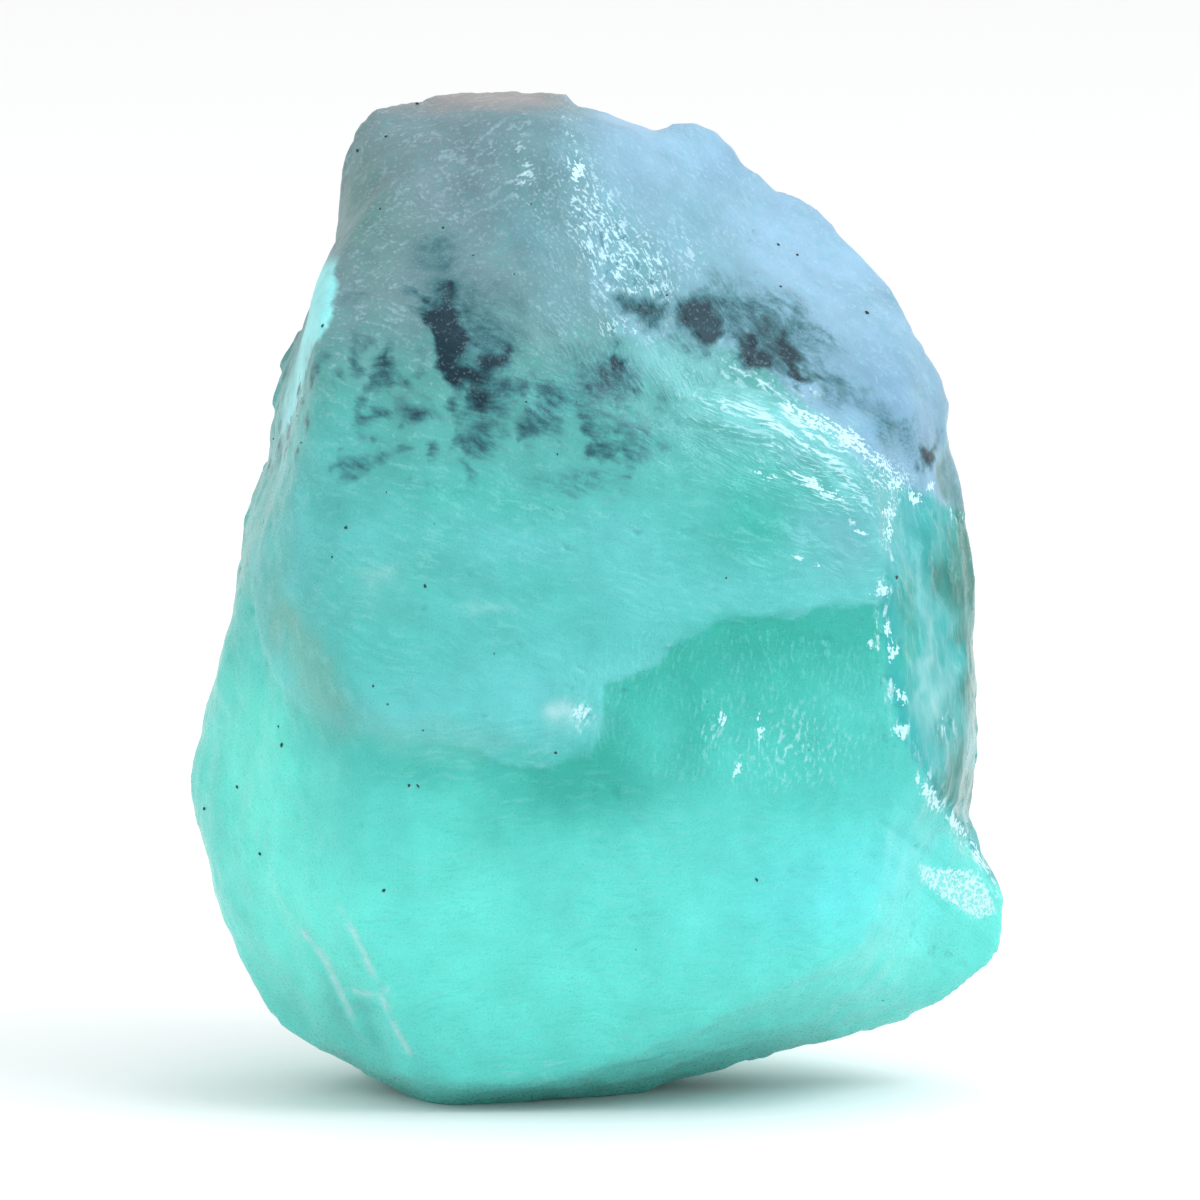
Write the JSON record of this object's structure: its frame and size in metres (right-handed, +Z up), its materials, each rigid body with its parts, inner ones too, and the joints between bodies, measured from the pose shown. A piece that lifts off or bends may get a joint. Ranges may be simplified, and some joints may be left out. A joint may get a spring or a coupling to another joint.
{
  "type": "rough fluorite",
  "caption": "Rough natural fluorite: an upright broken lump of translucent mint-green stone with a grey-lavender top, standing on a small flat spot.",
  "frame": {"origin": "centre of the stone's box on the surface that it stands on", "axes": "+Z up along the stone's height, -Y towards the viewer, +X to the viewer's right"},
  "size_m": [0.048, 0.0352, 0.0586],
  "materials": {
    "fluorite": "translucent, satin to glossy on broken faces"
  },
  "bodies": {
    "root": {"fluorite": "fluorite"}
  },
  "joints": []
}
